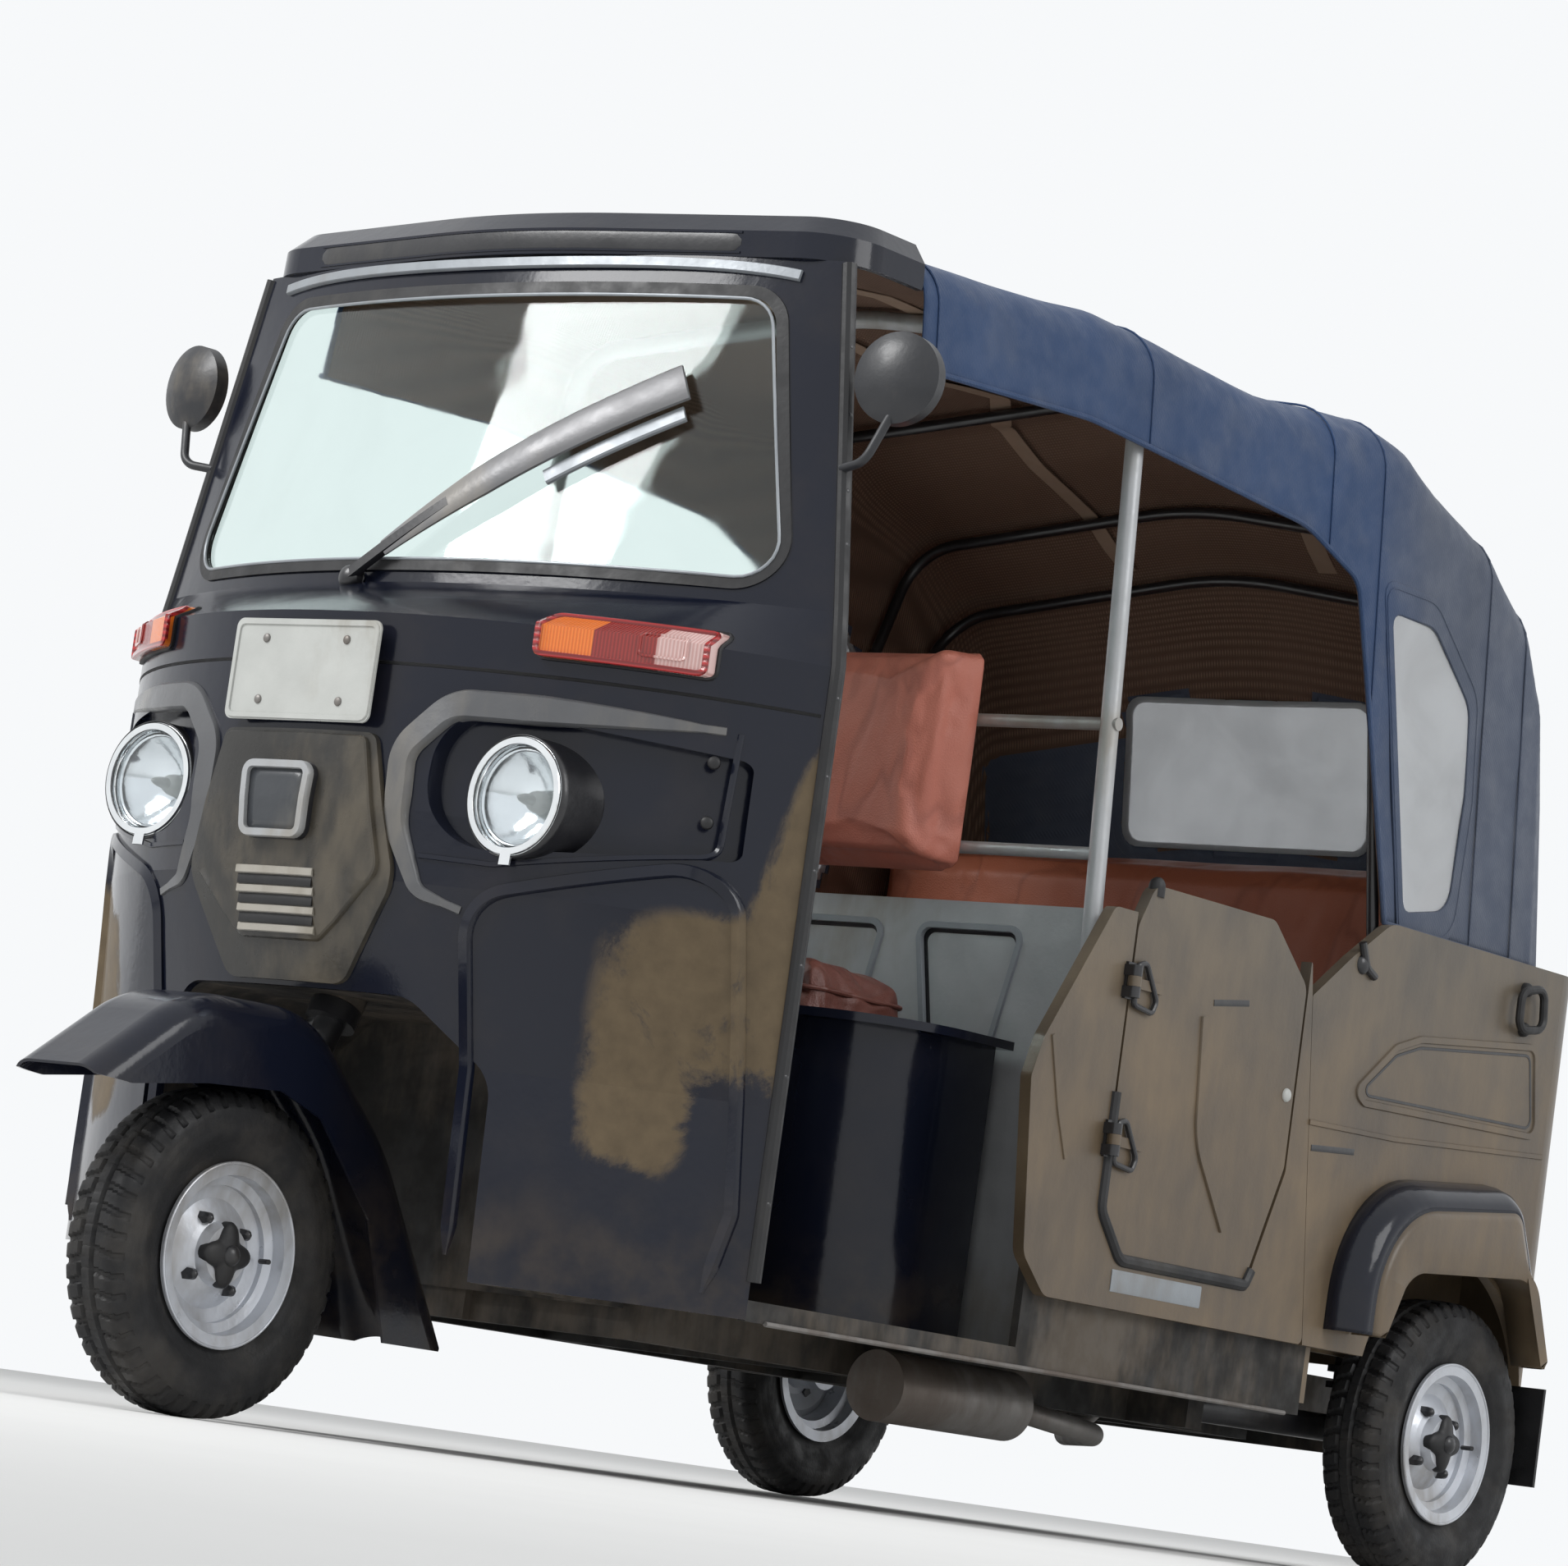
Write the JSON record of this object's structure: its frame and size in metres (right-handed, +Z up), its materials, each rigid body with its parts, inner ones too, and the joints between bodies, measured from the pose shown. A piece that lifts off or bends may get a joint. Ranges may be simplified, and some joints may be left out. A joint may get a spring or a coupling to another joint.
{
  "type": "auto rickshaw",
  "caption": "Three-wheeled passenger auto rickshaw with twin headlamps, an open cab, low side doors, a bench and a cloth hood.",
  "frame": {"origin": "on the ground, on the centre line, midway between the front and rear ends", "axes": "-Y to the front, +X to the vehicle's left side, +Z up"},
  "size_m": [1.3624, 2.62, 1.7064],
  "materials": {
    "body_paint": "gloss, dark navy",
    "dusty_paint": "navy under a tan film of dust",
    "mask_plastic": "dusty black",
    "silver_paint": "satin silver",
    "black_metal": "satin black",
    "hood_cloth": "coated blue-grey cloth",
    "clear_film": "clouded clear film",
    "glass": "clear",
    "rubber": "matt",
    "tyre": "matt",
    "rim_paint": "silver paint",
    "chrome": "polished",
    "mirror": "polished in a black shell",
    "lamp_glass": "clear, fluted",
    "lamp_plastic": "amber and red lens",
    "tail_red": "red lens",
    "plate": "plain pale sheet",
    "salmon_vinyl": "wrinkled vinyl",
    "dark_red_vinyl": "wrinkled vinyl",
    "bench_vinyl": "vinyl",
    "underbody": "dusty black",
    "cast_metal": "dusty casting",
    "grey_steel": "worn"
  },
  "bodies": {
    "body": {"chassis_frame": "underbody", "floor_pan": "underbody", "wheel_space": "underbody", "front_cowl": "body_paint", "nose_mask": "mask_plastic", "number_plate": "plate", "headlamp_bowls": "chrome", "headlamp_lenses": "lamp_glass", "indicator_lamps": "lamp_plastic", "windscreen_surround": "body_paint", "windscreen_rubber": "rubber", "windscreen_glass": "glass", "roof_header": "body_paint", "dash_shelf": "black_metal", "wiper_arm": "silver_paint", "mirrors": "mirror", "driver_seat_base": "body_paint", "driver_cushion": "dark_red_vinyl", "driver_backrest": "salmon_vinyl", "partition": "silver_paint", "pole_hoop": "silver_paint", "hood_bows": "black_metal", "side_panels": "dusty_paint", "rear_tub": "dusty_paint", "rear_fenders": "dusty_paint", "mudflaps": "rubber", "hinge_brackets": "black_metal", "tail_lamps": "tail_red", "bench_box": "dusty_paint", "bench_cushion": "bench_vinyl", "bench_backrest": "bench_vinyl", "hood_canopy": "hood_cloth", "hood_windows": "clear_film", "engine_block": "cast_metal", "silencer": "grey_steel", "rear_suspension": "black_metal", "drive_shafts": "grey_steel"},
    "steering": {"steering_column": "black_metal", "front_fork": "black_metal", "front_mudguard": "body_paint"},
    "front_wheel": {"front_tyre": "tyre", "front_rim": "rim_paint"},
    "rear_left_wheel": {"rear_left_tyre": "tyre", "rear_left_rim": "rim_paint"},
    "rear_right_wheel": {"rear_right_tyre": "tyre", "rear_right_rim": "rim_paint"},
    "left_door": {"door_left": "dusty_paint"},
    "right_door": {"door_right": "dusty_paint"},
    "engine_door": {"engine_lid": "dusty_paint"}
  },
  "joints": [
    {"name": "steering_turn", "type": "hinge", "parent": "body", "child": "steering", "pos_m": [0, -0.96, 0.2075], "axis": [0, 0.3746, 0.9272], "range_deg": [-40, 40]},
    {"name": "front_wheel_spin", "type": "hinge", "parent": "steering", "child": "front_wheel", "pos_m": [0, -1, 0.2075], "axis": [1, 0, 0], "continuous": true},
    {"name": "rear_left_wheel_spin", "type": "hinge", "parent": "body", "child": "rear_left_wheel", "pos_m": [0.575, 1, 0.2075], "axis": [1, 0, 0], "continuous": true},
    {"name": "rear_right_wheel_spin", "type": "hinge", "parent": "body", "child": "rear_right_wheel", "pos_m": [-0.575, 1, 0.2075], "axis": [1, 0, 0], "continuous": true},
    {"name": "left_door_swing", "type": "hinge", "parent": "body", "child": "left_door", "pos_m": [0.622, 0.058, 0.6], "axis": [0, 0, -1], "range_deg": [0, 80]},
    {"name": "right_door_swing", "type": "hinge", "parent": "body", "child": "right_door", "pos_m": [-0.622, 0.058, 0.6], "axis": [0, 0, 1], "range_deg": [0, 80]},
    {"name": "engine_lid_lift", "type": "hinge", "parent": "body", "child": "engine_door", "pos_m": [0, 1.272, 0.808], "axis": [1, 0, 0], "range_deg": [0, 95]}
  ]
}
